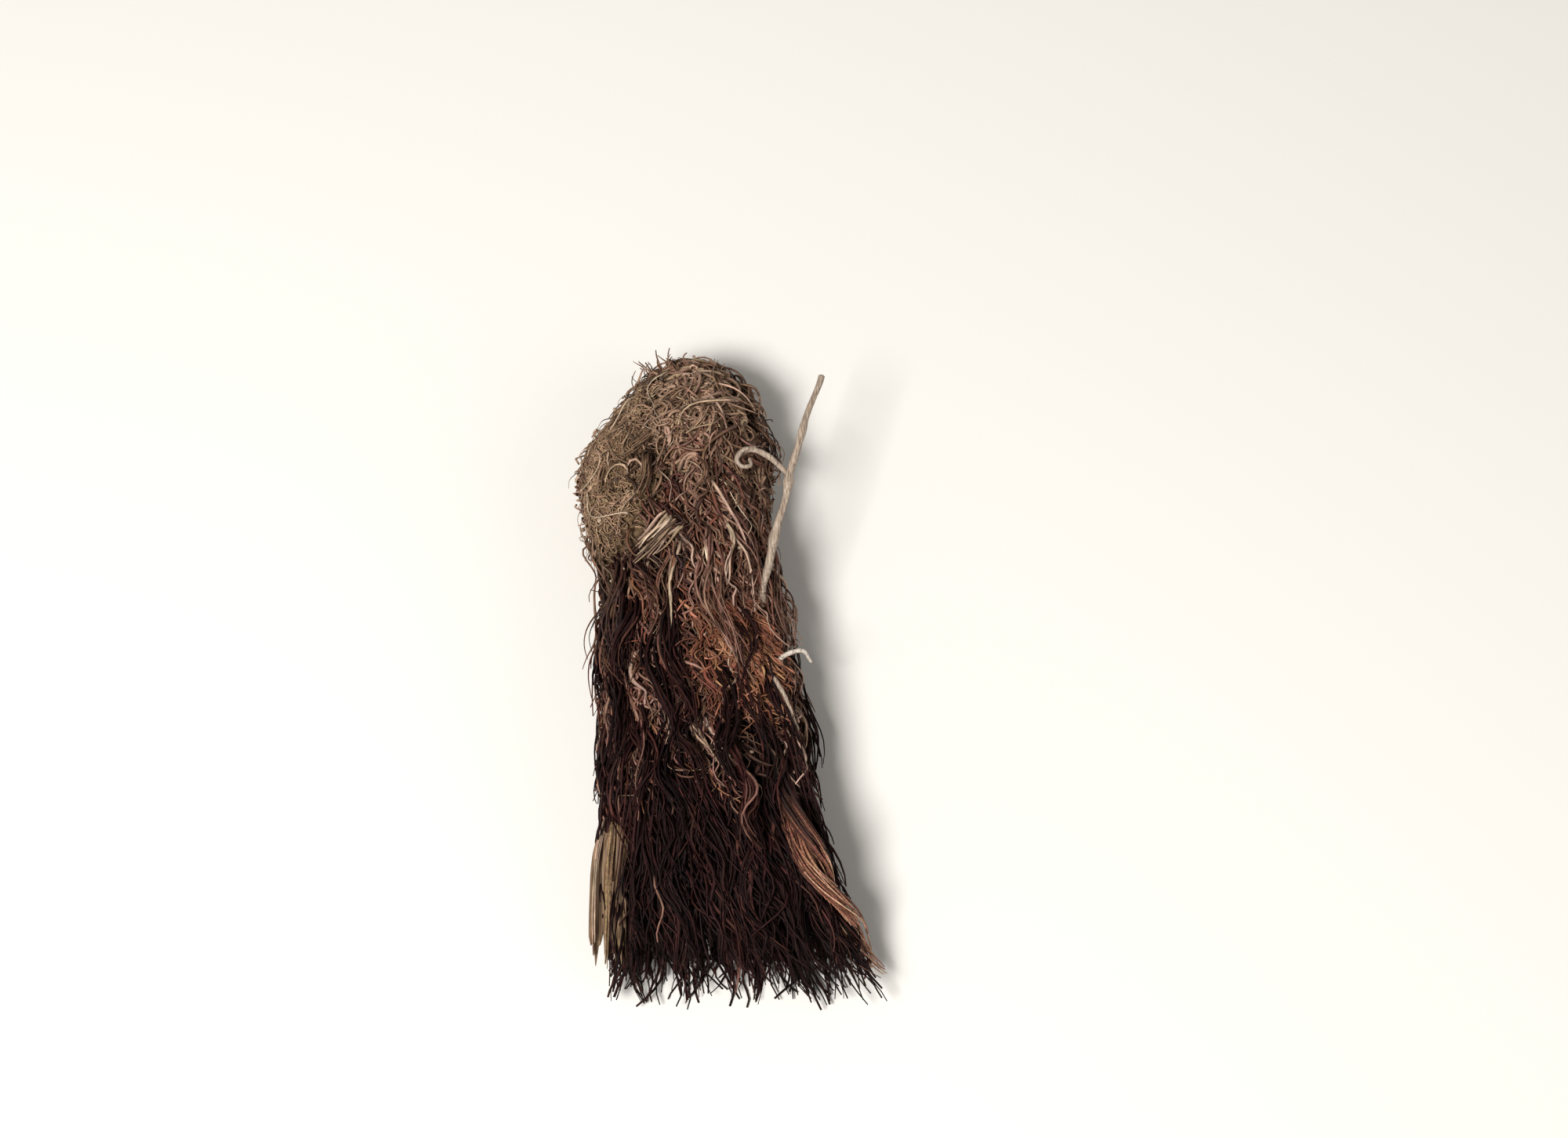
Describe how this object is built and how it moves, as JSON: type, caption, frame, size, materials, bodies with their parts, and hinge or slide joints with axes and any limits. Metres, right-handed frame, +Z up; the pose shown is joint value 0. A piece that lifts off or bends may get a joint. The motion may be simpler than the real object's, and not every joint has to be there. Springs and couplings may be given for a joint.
{
  "type": "jatamansi root",
  "caption": "Short thick dried spikenard root with a matted fibrous head and a shaggy tail of long leaf-base fibres, lying on its side as a dried herb or prop.",
  "frame": {"origin": "on the surface that the root lies on, under the middle of the root's bounding box", "axes": "+Z up with the root lying on its flattened side, +Y along the root towards the matted head, -Y towards the frayed tail"},
  "size_m": [0.0302, 0.065, 0.0166],
  "materials": {
    "root_fibre": "dry matted leaf-base fibre, dark umber to reddish brown with a tan head"
  },
  "bodies": {
    "root": {"root": "root_fibre"}
  },
  "joints": []
}
